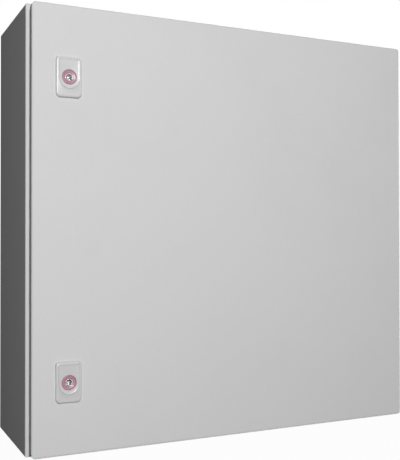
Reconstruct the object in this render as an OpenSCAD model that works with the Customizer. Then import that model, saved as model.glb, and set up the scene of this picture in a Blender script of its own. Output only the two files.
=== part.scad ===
// Steel wall enclosure with one hinged door and two double-bit cam locks.
// Millimetres. X runs to the right seen from the front, Y runs back to the wall, Z runs up.
// The origin is the centre of the wall face: the cabinet stands in front of it, at negative Y.

/* [Cabinet] */
// Outer width of the body
body_w = 600; // [520:10:800]
// Outer height of the body
body_h = 600; // [550:10:1000]
// Depth from the wall to the front of the door
overall_d = 210; // [180:5:350]
// Thickness of the body's sheet steel
body_sheet = 1.5; // [1.2:0.1:2]
// Radius of the body's four long edges, outside
body_corner_r = 2; // [2:0.5:8]
// Outside radius of the bends along the front and back of the body
body_bend_r = 2; // [2:0.5:5]
// Depth of the short wall that the back panel and the rim each carry
seam_tab = 6; // [5:1:12]

/* [Rain gutter and sealing rim] */
// Width of the gutter, from the outside of the body to the outside of the lip
gutter_w = 22; // [21:0.5:24]
// Height of the lip above the gutter floor
lip_h = 15; // [12:0.5:16]
// Outside radius of the lip's corners
lip_corner_r = 12; // [9:1:20]

/* [Door] */
// Distance from the gutter floor to the front of the door
door_stand = 25; // [25:0.5:28]
// How far the door's edge is set in from the side of the body
door_inset = 2.7; // [2.5:0.1:4]
// Thickness of the door's sheet steel
door_sheet = 2; // [1.5:0.25:2.25]
// Depth of the door's folded edge, measured from its front
door_flange = 11; // [10.5:0.5:14.5]
// Radius of the door's four corners seen from the front
door_corner_r = 6.5; // [4:0.5:9]
// Outside radius of the bend along the door's edges
door_bend_r = 3; // [2.5:0.5:4]

/* [Door seal] */
// Width of the foamed seal
seal_w = 12; // [8:0.5:13]
// Radius of the seal's rounded shoulders
seal_shoulder_r = 2.5; // [1:0.5:3]

/* [Hinges] */
// Distance of each hinge's middle from the top or bottom of the body
hinge_inset = 100; // [70:5:150]
// Length of the hinge block's foot
hinge_foot_len = 50; // [44:1:70]
// Length of the knuckle in the middle, which the body carries
knuckle_mid_len = 24; // [16:1:30]
// Length of each of the two knuckles that the door carries
knuckle_end_len = 14; // [8:1:20]
// Outside diameter of the knuckles
knuckle_d = 8; // [7.5:0.25:8.5]
// Diameter of the hinge pin
pin_d = 5; // [4:0.25:5.5]
// Distance of the hinge pin's axis from the side of the door
hinge_side_set = 6.8; // [6.5:0.1:8]
// Distance of the hinge pin's axis from the front of the door
hinge_front_set = 11; // [10:0.25:12]
// Distance between the two screws of a hinge block
hinge_screw_pitch = 32; // [24:1:36]
// Thread diameter of the hinge screws
hinge_screw_d = 5; // [4:0.5:5.5]
// Thickness of the arm that carries the middle knuckle
hinge_arm_t = 3; // [2:0.25:3.5]
// How far the door swings open, in degrees
door_swing = 130; // [100:5:130]

/* [Locks] */
// Distance from the side of the body to the lock's axis
lock_side_inset = 51; // [50:0.5:56]
// Distance of each lock's axis from the top or bottom of the body
lock_inset = 99; // [80:1:140]
// Width of the lock's cover
cover_w = 35; // [32:0.5:38]
// Height of the lock's cover
cover_h = 55; // [46:0.5:64]
// How far the cover stands out from the door
cover_t = 4.5; // [3.5:0.25:6]
// Corner radius of the cover
cover_corner_r = 6.5; // [4:0.5:8]
// Width of the sloped edge around the cover
cover_bevel = 2.5; // [1.5:0.25:3]
// Length of the slope at the lower end of the cover
cover_chin = 5; // [4:0.5:7]
// Width of the raised shield that frames the keyway
shield_w = 28; // [25:0.5:29]
// How far the shield rises above the rest of the cover
shield_t = 1; // [0.5:0.1:1.5]
// Outside diameter of the coloured ring
ring_od = 19.5; // [18:0.25:20]
// Inside diameter of the coloured ring
ring_id = 10.75; // [10.5:0.25:14]
// Diameter of the threaded neck that passes through the door
neck_d = 22; // [21:0.5:24]
// Diameter of the turning spindle
spindle_d = 10; // [9.5:0.25:10]
// Side of the square end that drives the cam
square_side = 6.5; // [6:0.25:6.5]
// Width across flats of the clamping nut
lock_nut_af = 27; // [26:0.5:28]
// Thickness of the cam
cam_t = 3; // [2:0.25:4]
// Width of the cam
cam_w = 18; // [16:0.5:20]
// Reach of the cam, from the lock's axis to its tip
cam_reach = 37; // [34:0.5:40]
// Gap between the back of the gutter floor and the closed cam
cam_gap = 0.8; // [0.5:0.1:1.5]

/* [Mounting plate] */
// Gap between each side of the body and the mounting plate
plate_side_gap = 25.5; // [22:0.5:30]
// Gap between the top or bottom of the body and the mounting plate
plate_end_gap = 15; // [15:0.5:24]
// Thickness of the mounting plate
plate_t = 2.5; // [2:0.25:3]
// Distance from the wall to the rear of the mounting plate
plate_stand = 16; // [12:0.5:25]
// Inset of the plate's fixing bolts from its sides
plate_bolt_side = 25; // [24:0.5:40]
// Inset of the plate's fixing bolts from its top and bottom
plate_bolt_end = 45; // [42:1:70]
// Thread diameter of the plate's fixing bolts
plate_bolt_d = 8; // [6:0.5:8]

/* [Wall fixing] */
// Diameter of the wall-fixing holes
wall_hole_d = 9; // [7:0.5:11]
// Inset of the wall-fixing holes from each side of the body
wall_hole_inset = 30; // [26:0.5:32]

/* [Gland plate] */
// Width of the cable cut-out in the base
gland_cut_w = 430; // [200:10:440]
// Depth of the cable cut-out in the base
gland_cut_d = 100; // [60:5:100]
// How far the gland plate laps over the edge of the cut-out
gland_lap = 18; // [15:0.5:22]
// Thickness of the gland plate
gland_t = 2; // [1.5:0.25:3]
// Thickness of the gland plate's seal
gland_seal_t = 3; // [2:0.25:4]
// Thread diameter of the gland plate's bolts
gland_bolt_d = 6; // [5:0.5:6]

/* [Earthing] */
// Thread diameter of the earthing bolts
earth_bolt_d = 8; // [6:0.5:8]
// Length of the earthing bolts
earth_bolt_len = 20; // [18:1:28]

/* [Door strips] */
// Gap between the locks' clamping nuts and the perforated strip beside them
strip_gap = 4; // [2:0.5:20]
// Width of a strip's raised face
strip_w = 18; // [14:0.5:20]
// Height of a strip above the door's inside
strip_h = 14; // [10:0.5:20]
// Distance from one hole of the strip to the next
strip_pitch = 25; // [25:5:50]

/* [Hidden] */
$fn = 48;
slide = 0.3;          // gap between pieces that move past each other
run_gap = 0.05;       // radial gap of a pin or spindle that turns in a bore
lap = 1;              // overrun of a cut past the face that it opens

// Planes along Y
door_y = -overall_d;
door_in_y = door_y + door_sheet;
door_edge_y = door_y + door_flange;
floor_y = door_y + door_stand;
floor_in_y = floor_y + body_sheet;
lip_y = floor_y - lip_h;
rim_back_y = floor_y + seam_tab;
back_in_y = -body_sheet;
corner_in_r = max(body_corner_r - body_sheet, 0.2);
bend_in_r = max(body_bend_r - body_sheet, 0.2);

// The door's outline and the lip's outline
door_w = body_w - 2 * door_inset;
door_h = body_h - 2 * door_inset;
lip_w = body_w - 2 * gutter_w;
lip_hgt = body_h - 2 * gutter_w;

// The seal is pressed by the middle of the lip's edge
seal_line_w = lip_w - body_sheet;
seal_line_h = lip_hgt - body_sheet;
seal_line_r = lip_corner_r - body_sheet / 2;
seal_t = lip_y - door_in_y - slide;

// Hinge axis, and the hinge block's profile measured from it
hinge_x = door_w / 2 - hinge_side_set;
hinge_y = door_y + hinge_front_set;
hinge_zs = [body_h / 2 - hinge_inset, -body_h / 2 + hinge_inset];
block_u = lip_w / 2 + slide - hinge_x;
block_wall = 3.6;
block_foot_t = 6;
block_foot_u = -3;
arm_front = lip_y - slide - hinge_y + 0.5;   // just behind the seal
arm_back = arm_front + hinge_arm_t;
hinge_screw_x = hinge_x + (block_u + block_foot_u) / 2;
hinge_screw_hole_r = hinge_screw_d / 2 + 0.3;
knuckle_pitch = knuckle_mid_len / 2 + slide;
leaf_half = knuckle_pitch + knuckle_end_len;
leaf_t = 2.5;
pin_head_d = pin_d + 2.5;
pin_head_t = 2;

// Where the door's folded edge reaches so far back, it is notched at each arm to clear it when open
flange_in_u = hinge_side_set - door_sheet;
notch_v = (flange_in_u * sin(door_swing) - arm_back - slide) / -cos(door_swing);
notch_len = knuckle_mid_len + 4;

// Lock stations, measured inwards from the front of the door
cover_edge_t = 2.2;
lock_x = -body_w / 2 + lock_side_inset;
lock_zs = [body_h / 2 - lock_inset, -body_h / 2 + lock_inset];
cam_front = door_stand + body_sheet + cam_gap;
neck_end = cam_front - slide;
ring_t = 3;
ring_seat = -cover_t + 0.8;      // the ring lies a little below the cover's face
head_seat = ring_seat + ring_t;
spindle_front = ring_seat + 0.4;
key_depth = 9;
key_socket_d = spindle_d - 2.4;
key_bit_t = 3;
key_pin_d = 4;
lock_nut_t = 6;
lock_nut_r = lock_nut_af / 2 / cos(30);
lock_seal_t = 1;
lock_seal_w = 2.5;
cam_screw_d = 4;
cam_screw_head_d = 9;
cam_screw_head_t = 4;
cam_washer_t = 1;
cam_hub_r = cam_w / 2;

// Mounting plate
plate_w = body_w - 2 * plate_side_gap;
plate_h = body_h - 2 * plate_end_gap;
plate_bolt_x = plate_w / 2 - plate_bolt_side;
plate_bolt_z = plate_h / 2 - plate_bolt_end;
plate_back_y = -plate_stand;
plate_front_y = plate_back_y - plate_t;
wall_hole_x = body_w / 2 - wall_hole_inset;
wall_hole_z = body_h / 2 - wall_hole_inset;
wall_hole_room = wall_hole_d / 2 + 9.5;
plate_corner_r = 6;

// Gland plate
base_in_z = -body_h / 2 + body_sheet;
gland_y = (floor_in_y + back_in_y) / 2;
gland_w = gland_cut_w + 2 * gland_lap;
gland_d = gland_cut_d + 2 * gland_lap;
gland_bolt_inset = 8;
gland_bolt_xs = [-1, -1/3, 1/3, 1] * (gland_w / 2 - gland_bolt_inset);
gland_bolt_y = gland_d / 2 - gland_bolt_inset;
gland_corner_r = 10;

// Earthing bolts
earth_body_pos = [-body_w / 2 + body_sheet, floor_y + 45, -body_h / 2 + 60];
earth_door_pos = [-lip_w / 2 + 95, door_in_y, -body_h / 2 + 55];

// Perforated strips
strip_foot = 8;
strip_x = lock_x + lock_nut_r + strip_gap + strip_foot + strip_w / 2;
strip_xs = [strip_x, -strip_x];
strip_len = body_h - 2 * lock_inset + 60;
strip_sheet = 1.5;
strip_hole_count = 2 * floor((strip_len / 2 - 14) / strip_pitch) + 1;

// ---- Shapes that repeat ----

// Centred rectangle with round corners
module rounded_rect(w, h, r) {
    square([w - 2 * r, h], center = true);
    square([w, h - 2 * r], center = true);
    for (x = [-1, 1], y = [-1, 1])
        translate([x * (w / 2 - r), y * (h / 2 - r)]) circle(r = r);
}

// Lays a drawing seen from the front (X and Z) between two planes along Y
module between_y(front, back) {
    translate([0, back, 0]) rotate([90, 0, 0]) linear_extrude(back - front) children();
}

// Plan of a bent box: width along X, Y from front to back, its front and back edges rounded
module depth_profile(w, front, back, r_front, r_back) {
    translate([-w / 2, front + r_front]) square([w, back - front - r_front - r_back]);
    if (r_front > 0) {
        translate([-w / 2 + r_front, front]) square([w - 2 * r_front, r_front + lap]);
        for (x = [-1, 1]) translate([x * (w / 2 - r_front), front + r_front]) circle(r = r_front);
    }
    if (r_back > 0) {
        translate([-w / 2 + r_back, back - r_back - lap]) square([w - 2 * r_back, r_back + lap]);
        for (x = [-1, 1]) translate([x * (w / 2 - r_back), back - r_back]) circle(r = r_back);
    }
}

// Solid block with the bend radii of folded sheet: corner is the radius seen from the front
module bent_box(w, h, front, back, corner, r_front, r_back) {
    intersection() {
        between_y(front, back) rounded_rect(w, h, corner);
        translate([0, 0, -h / 2]) linear_extrude(h) depth_profile(w, front, back, r_front, r_back);
        translate([-w / 2, 0, 0]) rotate([90, 0, 90]) linear_extrude(w)
            mirror([1, -1, 0]) depth_profile(h, front, back, r_front, r_back);
    }
}

// Cylinder along Y from one plane to another
module post_y(r, front, back) {
    translate([0, back, 0]) rotate([90, 0, 0]) cylinder(r = r, h = back - front);
}

// Hexagonal prism along Y, with flats that far apart
module hex_y(across_flats, front, back) {
    translate([0, back, 0]) rotate([90, 0, 0])
        cylinder(r = across_flats / 2 / cos(30), h = back - front, $fn = 6);
}

// Nut along +Z that stands on the ground plane of its own frame
module hex_nut(d, across_flats, t) {
    difference() {
        cylinder(r = across_flats / 2 / cos(30), h = t, $fn = 6);
        translate([0, 0, -lap]) cylinder(d = d + 2 * run_gap, h = t + 2 * lap);
    }
}

module flat_washer(d_in, d_out, t) {
    difference() {
        cylinder(d = d_out, h = t);
        translate([0, 0, -lap]) cylinder(d = d_in, h = t + 2 * lap);
    }
}

// Places its children at the four corners of a rectangle seen from the front
module at_corners(x, z) {
    for (i = [-1, 1], k = [-1, 1]) translate([i * x, 0, k * z]) children();
}

// ---- Body ----

// The four walls, folded from one sheet, with the cable cut-out in the base
module body_wrapper() {
    color("gainsboro") difference() {
        between_y(rim_back_y, -seam_tab) difference() {
            rounded_rect(body_w, body_h, body_corner_r);
            rounded_rect(body_w - 2 * body_sheet, body_h - 2 * body_sheet, corner_in_r);
        }
        translate([0, gland_y, -body_h / 2 - lap]) linear_extrude(body_sheet + 2 * lap)
            rounded_rect(gland_cut_w, gland_cut_d, gland_corner_r);
    }
}

// Pan that closes the back, with the four wall-fixing holes
module back_panel() {
    color("gainsboro") difference() {
        bent_box(body_w, body_h, -seam_tab, 0, body_corner_r, 0, body_bend_r);
        bent_box(body_w - 2 * body_sheet, body_h - 2 * body_sheet, -seam_tab - lap, back_in_y,
                 corner_in_r, 0, bend_in_r);
        at_corners(wall_hole_x, wall_hole_z) post_y(wall_hole_d / 2, -body_sheet - lap, lap);
    }
}

// Front of the body: gutter floor and the lip that presses into the seal
module rim_frame() {
    lip_in_w = lip_w - 2 * body_sheet;
    lip_in_h = lip_hgt - 2 * body_sheet;
    lip_in_r = lip_corner_r - body_sheet;
    color("gainsboro") difference() {
        union() {
            difference() {
                bent_box(body_w, body_h, floor_y, rim_back_y, body_corner_r, body_bend_r, 0);
                bent_box(body_w - 2 * body_sheet, body_h - 2 * body_sheet, floor_in_y, rim_back_y + lap,
                         corner_in_r, bend_in_r, 0);
            }
            between_y(lip_y, floor_in_y) rounded_rect(lip_w, lip_hgt, lip_corner_r);
        }
        between_y(lip_y - lap, rim_back_y + lap) rounded_rect(lip_in_w, lip_in_h, lip_in_r);
        for (side = [-1, 1], z = hinge_zs, k = [-1, 1])
            translate([side * hinge_screw_x, 0, z + k * hinge_screw_pitch / 2])
                post_y(hinge_screw_hole_r, floor_y - lap, floor_in_y + lap);
    }
}

// ---- Mounting plate ----

plate_bolt_end_y = plate_front_y - plate_bolt_d - 6;
plate_nut_af = plate_bolt_d * 1.625;

// Bolts welded to the back panel
module plate_bolts() {
    color("silver") at_corners(plate_bolt_x, plate_bolt_z)
        post_y(plate_bolt_d / 2, plate_bolt_end_y, back_in_y);
}

// Sleeves that hold the plate off the back panel
module plate_spacers() {
    color("silver") at_corners(plate_bolt_x, plate_bolt_z) difference() {
        post_y(plate_bolt_d / 2 + 4, plate_back_y, back_in_y);
        post_y(plate_bolt_d / 2 + run_gap, plate_back_y - lap, back_in_y + lap);
    }
}

// Zinc-plated plate, its corners notched so that a screwdriver reaches the wall-fixing holes
module mounting_plate() {
    notch_w = plate_w / 2 - (wall_hole_x - wall_hole_room);
    notch_h = plate_h / 2 - (wall_hole_z - wall_hole_room);
    color("lightsteelblue") difference() {
        between_y(plate_front_y, plate_back_y) difference() {
            rounded_rect(plate_w, plate_h, 2);
            for (i = [-1, 1], k = [-1, 1]) translate([i * plate_w / 2, k * plate_h / 2])
                rounded_rect(2 * notch_w, 2 * notch_h, plate_corner_r);
        }
        at_corners(plate_bolt_x, plate_bolt_z)
            post_y(plate_bolt_d / 2 + 0.5, plate_front_y - lap, plate_back_y + lap);
    }
}

// Flange nuts on the four bolts
module plate_nuts() {
    color("silver") at_corners(plate_bolt_x, plate_bolt_z) difference() {
        union() {
            post_y(plate_nut_af * 0.7, plate_front_y - 1.2, plate_front_y);
            hex_y(plate_nut_af, plate_front_y - plate_bolt_d, plate_front_y);
        }
        post_y(plate_bolt_d / 2 + run_gap, plate_front_y - plate_bolt_d - lap, plate_front_y + lap);
    }
}

// ---- Gland plate in the base ----

gland_nut_t = gland_bolt_d;
gland_top_z = base_in_z + gland_seal_t + gland_t;

module at_gland_bolts() {
    for (x = gland_bolt_xs, k = [-1, 1]) translate([x, gland_y + k * gland_bolt_y, 0]) children();
}

// Outline of the gland plate and its seal, with the bolt holes
module gland_outline() {
    difference() {
        translate([0, gland_y]) rounded_rect(gland_w, gland_d, gland_corner_r);
        for (x = gland_bolt_xs, k = [-1, 1])
            translate([x, gland_y + k * gland_bolt_y]) circle(d = gland_bolt_d + 0.6);
    }
}

module gland_bolts() {
    color("silver") at_gland_bolts() translate([0, 0, base_in_z])
        cylinder(d = gland_bolt_d, h = gland_seal_t + gland_t + gland_nut_t + 1.5);
}

module gland_seal() {
    color("dimgray") translate([0, 0, base_in_z]) linear_extrude(gland_seal_t) difference() {
        gland_outline();
        translate([0, gland_y]) rounded_rect(gland_cut_w, gland_cut_d, gland_corner_r);
    }
}

module gland_plate() {
    color("gainsboro") translate([0, 0, base_in_z + gland_seal_t])
        linear_extrude(gland_t) gland_outline();
}

module gland_nuts() {
    color("silver") at_gland_bolts() translate([0, 0, gland_top_z])
        hex_nut(gland_bolt_d, gland_bolt_d * 5 / 3, gland_nut_t);
}

// ---- Earthing bolts ----

earth_washer_t = 1.6;

// Turns a piece that stands along +Z so that it stands on the wall it is welded to
module on_side_wall() { translate(earth_body_pos) rotate([0, 90, 0]) children(); }
module on_door_inside() { translate(earth_door_pos) rotate([-90, 0, 0]) children(); }

module earth_bolt() { cylinder(d = earth_bolt_d, h = earth_bolt_len); }
module earth_washer() {
    translate([0, 0, slide]) flat_washer(earth_bolt_d + 0.4, earth_bolt_d * 2, earth_washer_t);
}
module earth_nut() {
    translate([0, 0, slide + earth_washer_t])
        hex_nut(earth_bolt_d, earth_bolt_d * 1.625, earth_bolt_d * 0.8);
}

module body_earth_bolt() { color("goldenrod") on_side_wall() earth_bolt(); }
module body_earth_washer() { color("silver") on_side_wall() earth_washer(); }
module body_earth_nut() { color("silver") on_side_wall() earth_nut(); }
module door_earth_bolt() { color("goldenrod") on_door_inside() earth_bolt(); }
module door_earth_washer() { color("silver") on_door_inside() earth_washer(); }
module door_earth_nut() { color("silver") on_door_inside() earth_nut(); }

// ---- Hinges ----

// Cast block that hooks from the gutter floor over to the hinge pin
module hinge_block(z) {
    floor_v = floor_y - hinge_y;
    color("darkgray") translate([hinge_x, hinge_y, z]) difference() {
        union() {
            translate([0, 0, -hinge_foot_len / 2]) linear_extrude(hinge_foot_len) {
                translate([block_u, floor_v - block_foot_t])
                    square([block_foot_u - block_u, block_foot_t]);
                translate([block_u, arm_back - 1]) square([block_wall, floor_v - arm_back + 1]);
            }
            translate([0, 0, -knuckle_mid_len / 2]) linear_extrude(knuckle_mid_len) {
                translate([block_u, arm_front]) square([-block_u, arm_back - arm_front]);
                circle(d = knuckle_d);
            }
        }
        translate([0, 0, -knuckle_mid_len]) cylinder(r = pin_d / 2 + run_gap, h = 2 * knuckle_mid_len);
        for (k = [-1, 1]) translate([hinge_screw_x - hinge_x, 0, k * hinge_screw_pitch / 2])
            post_y(hinge_screw_d / 2 + run_gap, floor_v - block_foot_t - lap, floor_v + lap);
    }
}

// Welded leaf behind the door's folded edge, with a knuckle above and below the block's
module hinge_leaf(z) {
    front_v = door_in_y - hinge_y;
    leaf_w = knuckle_d / 2 + flange_in_u - (door_bend_r - door_sheet);
    color("silver") translate([hinge_x, hinge_y, z]) difference() {
        union() {
            translate([-knuckle_d / 2, front_v, -leaf_half]) cube([leaf_w, leaf_t, 2 * leaf_half]);
            for (k = [-1, 1]) translate([0, 0, k > 0 ? knuckle_pitch : -leaf_half])
                linear_extrude(knuckle_end_len) {
                    circle(d = knuckle_d);
                    translate([-knuckle_d / 2, front_v]) square([leaf_w, -front_v]);
                }
        }
        translate([0, 0, -leaf_half - lap]) cylinder(r = pin_d / 2 + run_gap, h = 2 * leaf_half + 2 * lap);
    }
}

// Pin pushed in from above, its head resting on the upper knuckle
module hinge_pin(z) {
    color("silver") translate([hinge_x, hinge_y, z]) {
        translate([0, 0, -leaf_half]) cylinder(d = pin_d, h = 2 * leaf_half + slide + lap);
        translate([0, 0, leaf_half + slide]) cylinder(d = pin_head_d, h = pin_head_t);
    }
}

// Screws driven from inside, through the gutter floor into the hinge blocks
module hinge_screws() {
    color("silver") for (z = hinge_zs, k = [-1, 1])
        translate([hinge_screw_x, 0, z + k * hinge_screw_pitch / 2]) {
            post_y(hinge_screw_d / 2, floor_y - block_foot_t + 0.5, floor_in_y + lap);
            hex_y(hinge_screw_d * 1.6, floor_in_y, floor_in_y + hinge_screw_d * 0.7);
        }
}

// Plastic plugs in the matching holes on the lock side, where the door can be hung instead
module hinge_hole_plugs() {
    color("lightgray") for (z = hinge_zs, k = [-1, 1])
        translate([-hinge_screw_x, 0, z + k * hinge_screw_pitch / 2]) {
            post_y(hinge_screw_hole_r + 1.7, floor_y - 1.2, floor_y);
            post_y(hinge_screw_hole_r - run_gap, floor_y - lap, floor_in_y);
        }
}

// ---- Door ----

// Door leaf folded back along all four edges
module door_panel() {
    color("gainsboro") difference() {
        bent_box(door_w, door_h, door_y, door_edge_y, door_corner_r, door_bend_r, 0);
        bent_box(door_w - 2 * door_sheet, door_h - 2 * door_sheet, door_in_y, door_edge_y + lap,
                 door_corner_r - door_sheet, door_bend_r - door_sheet, 0);
        for (z = lock_zs) translate([lock_x, 0, z])
            post_y(neck_d / 2 + 0.2, door_y - lap, door_in_y + lap);
        for (z = hinge_zs) translate([door_w / 2 - 2 * door_sheet, hinge_y + notch_v, z - notch_len / 2])
            cube([3 * door_sheet, door_stand, notch_len]);
    }
}

// Section of the foamed seal: flat against the door, shoulders rounded towards the body
module seal_section() {
    square_h = seal_t - seal_shoulder_r;
    translate([-seal_w / 2, 0]) square([seal_w, square_h]);
    translate([-seal_w / 2 + seal_shoulder_r, 0]) square([seal_w - 2 * seal_shoulder_r, seal_t]);
    for (x = [-1, 1]) translate([x * (seal_w / 2 - seal_shoulder_r), square_h]) circle(r = seal_shoulder_r);
}

// Closed ring of foam that follows the lip around the door
module door_seal() {
    run_w = seal_line_w - 2 * seal_line_r;
    run_h = seal_line_h - 2 * seal_line_r;
    color("dimgray") translate([0, door_in_y, 0]) rotate([-90, 0, 0]) {
        for (side = [0, 180]) rotate([0, 0, side]) {
            translate([seal_line_w / 2, run_h / 2, 0]) rotate([90, 0, 0]) linear_extrude(run_h) seal_section();
            translate([run_w / 2, seal_line_h / 2, 0]) rotate([0, -90, 0]) linear_extrude(run_w)
                mirror([1, -1, 0]) seal_section();
        }
        for (i = [-1, 1], k = [-1, 1]) translate([i * run_w / 2, k * run_h / 2, 0])
            rotate([0, 0, (i > 0 ? (k > 0 ? 0 : 270) : (k > 0 ? 90 : 180))])
                rotate_extrude(angle = 90) translate([seal_line_r, 0]) seal_section();
    }
}

// Hat-section strip with a row of fixing holes, spot-welded inside the door
module door_strip(x) {
    outer = strip_w + 2 * strip_foot;
    color("gainsboro") translate([x, door_in_y, 0]) difference() {
        translate([0, 0, -strip_len / 2]) linear_extrude(strip_len) {
            for (side = [0, 1]) mirror([side, 0]) {
                translate([strip_w / 2 - strip_sheet, 0]) square([strip_foot + strip_sheet, strip_sheet]);
                translate([strip_w / 2 - strip_sheet, 0]) square([strip_sheet, strip_h]);
            }
            translate([-strip_w / 2, strip_h - strip_sheet]) square([strip_w, strip_sheet]);
        }
        for (n = [0 : strip_hole_count - 1])
            translate([0, 0, (n - (strip_hole_count - 1) / 2) * strip_pitch])
                post_y(2.25, strip_h - strip_sheet - lap, strip_h + lap);
        for (n = [0 : strip_hole_count - 2])
            translate([0, 0, (n + 1 - strip_hole_count / 2) * strip_pitch])
                between_y(strip_h - strip_sheet - lap, strip_h + lap) rounded_rect(strip_w / 2, 4.5, 2.2);
    }
}

// ---- Locks ----

// Puts a piece on a lock's axis: its own Y is the depth behind the front of the door
module at_lock(z) { translate([lock_x, door_y, z]) children(); }

// Outline of the raised shield: square shoulders above, half round below the keyway
module shield_outline(grow) {
    corner = 3;
    reach = cover_h / 2 - cover_bevel - corner - 0.5;
    circle(r = shield_w / 2 + grow);
    for (i = [-1, 1]) translate([i * (shield_w / 2 - corner), reach]) circle(r = corner + grow);
}

// Cover seen from the front, its lower corners rounder than the upper ones: chin draws in the lower end
module cover_outline(inset, chin) {
    low_r = cover_corner_r - inset / 2;
    top_r = low_r - 1.5;
    for (i = [-1, 1]) {
        translate([i * (cover_w / 2 - inset - low_r), -cover_h / 2 + chin + low_r]) circle(r = low_r);
        translate([i * (cover_w / 2 - inset - top_r), cover_h / 2 - inset - top_r]) circle(r = top_r);
    }
}

// A slice one tenth thick, so that hulls can run from one outline to the next
module slice_y(depth) { between_y(depth, depth + 0.1) children(); }

// Moulded cover with the threaded neck that passes through the door
module lock_cover(z) {
    face = -cover_t + shield_t;
    color("whitesmoke") at_lock(z) difference() {
        union() {
            hull() {
                slice_y(-0.1) cover_outline(0, 0, $fn = 32);
                slice_y(-cover_edge_t) cover_outline(0, cover_chin / 6, $fn = 32);
                slice_y(face) cover_outline(cover_bevel, cover_chin, $fn = 32);
            }
            hull() {
                slice_y(face) shield_outline(shield_t / 2, $fn = 40);
                slice_y(-cover_t) shield_outline(-shield_t / 2, $fn = 40);
            }
            post_y(neck_d / 2, -lap, neck_end);
        }
        post_y(ring_od / 2 + 0.1, -cover_t - lap, head_seat);
        post_y(spindle_d / 2 + run_gap, -cover_t - lap, neck_end + lap);
        difference() {
            post_y(neck_d / 2 + lock_seal_w, -lock_seal_t, lap);
            post_y(neck_d / 2, -lock_seal_t - lap, 2 * lap);
        }
    }
}

// Flat rubber seal between the cover and the door
module lock_seal(z) {
    color("dimgray") at_lock(z) difference() {
        post_y(neck_d / 2 + lock_seal_w, -lock_seal_t, 0);
        post_y(neck_d / 2, -lock_seal_t - lap, lap);
    }
}

// Nut that clamps the cover from inside the door
module lock_nut(z) {
    color("silver") at_lock(z) difference() {
        hex_y(lock_nut_af, door_sheet, door_sheet + lock_nut_t);
        post_y(neck_d / 2 + run_gap, door_sheet - lap, door_sheet + lock_nut_t + lap);
    }
}

// Coloured ring around the keyway
module lock_ring(z) {
    color("mediumvioletred") at_lock(z) difference() {
        post_y(ring_od / 2, ring_seat, head_seat);
        post_y(ring_id / 2, ring_seat - lap, head_seat + lap);
    }
}

// Turning core: a socket with the double-bit pin in front, a square end behind
module lock_spindle(z) {
    color("silver") at_lock(z) {
        difference() {
            union() {
                post_y(spindle_d / 2, spindle_front, cam_front);
                between_y(cam_front - lap, cam_front + cam_t) square(square_side, center = true);
            }
            post_y(key_socket_d / 2, spindle_front - lap, spindle_front + key_depth);
            post_y(cam_screw_d / 2 + run_gap, cam_front - 8, cam_front + cam_t + lap);
        }
        between_y(spindle_front + 0.6, spindle_front + key_depth + lap) {
            circle(d = key_pin_d);
            square([key_socket_d - 1.4, key_bit_t], center = true);
        }
    }
}

// Steel tongue: hangs down when the door is free, turns behind the gutter floor to hold it
module lock_cam(z) {
    tip_r = cam_w / 4;
    color("lightsteelblue") at_lock(z) difference() {
        between_y(cam_front, cam_front + cam_t) {
            circle(r = cam_hub_r);
            translate([-cam_w / 2, -cam_reach + tip_r]) square([cam_w, cam_reach - tip_r]);
            translate([-cam_w / 2 + tip_r, -cam_reach]) square([cam_w - 2 * tip_r, tip_r + lap]);
            for (i = [-1, 1]) translate([i * (cam_w / 2 - tip_r), -cam_reach + tip_r]) circle(r = tip_r);
        }
        between_y(cam_front - lap, cam_front + cam_t + lap)
            square(square_side + 2 * run_gap, center = true);
    }
}

module cam_washer(z) {
    color("silver") at_lock(z) difference() {
        post_y(cam_screw_head_d / 2 + 1, cam_front + cam_t, cam_front + cam_t + cam_washer_t);
        post_y(cam_screw_d / 2 + run_gap, cam_front + cam_t - lap, cam_front + cam_t + 2 * lap);
    }
}

module cam_screw(z) {
    seat = cam_front + cam_t + cam_washer_t;
    color("silver") at_lock(z) {
        post_y(cam_screw_d / 2, cam_front - 7, seat + lap);
        hex_y(cam_screw_head_d * cos(30), seat, seat + cam_screw_head_t);
    }
}

// ---- One node at a time ----

body_wrapper();
back_panel();
rim_frame();
plate_bolts();
plate_spacers();
mounting_plate();
plate_nuts();
gland_bolts();
gland_seal();
gland_plate();
gland_nuts();
body_earth_bolt();
body_earth_washer();
body_earth_nut();
hinge_block(hinge_zs[0]);  // upper_hinge_block
hinge_block(hinge_zs[1]);  // lower_hinge_block
hinge_pin(hinge_zs[0]);  // upper_hinge_pin
hinge_pin(hinge_zs[1]);  // lower_hinge_pin
hinge_screws();
hinge_hole_plugs();
door_panel();
door_seal();
door_strip(strip_xs[0]);  // left_door_strip
door_strip(strip_xs[1]);  // right_door_strip
hinge_leaf(hinge_zs[0]);  // upper_hinge_leaf
hinge_leaf(hinge_zs[1]);  // lower_hinge_leaf
door_earth_bolt();
door_earth_washer();
door_earth_nut();
lock_cover(lock_zs[0]);  // upper_lock_cover
lock_cover(lock_zs[1]);  // lower_lock_cover
lock_seal(lock_zs[0]);  // upper_lock_seal
lock_seal(lock_zs[1]);  // lower_lock_seal
lock_nut(lock_zs[0]);  // upper_lock_nut
lock_nut(lock_zs[1]);  // lower_lock_nut
lock_ring(lock_zs[0]);  // upper_lock_ring
lock_ring(lock_zs[1]);  // lower_lock_ring
lock_spindle(lock_zs[0]);  // upper_lock_spindle
lock_spindle(lock_zs[1]);  // lower_lock_spindle
lock_cam(lock_zs[0]);  // upper_lock_cam
lock_cam(lock_zs[1]);  // lower_lock_cam
cam_washer(lock_zs[0]);  // upper_cam_washer
cam_washer(lock_zs[1]);  // lower_cam_washer
cam_screw(lock_zs[0]);  // upper_cam_screw
cam_screw(lock_zs[1]);  // lower_cam_screw
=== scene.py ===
"""Finishes, fasteners, locks and studio for a steel wall enclosure.

Laid out as an add-on: settings, one operator for each piece or group of like pieces, one panel.
Lengths are in metres. X runs to the right seen from the front, Y back to the wall, Z up, and
the origin is the centre of the wall face.
"""
import math

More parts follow.
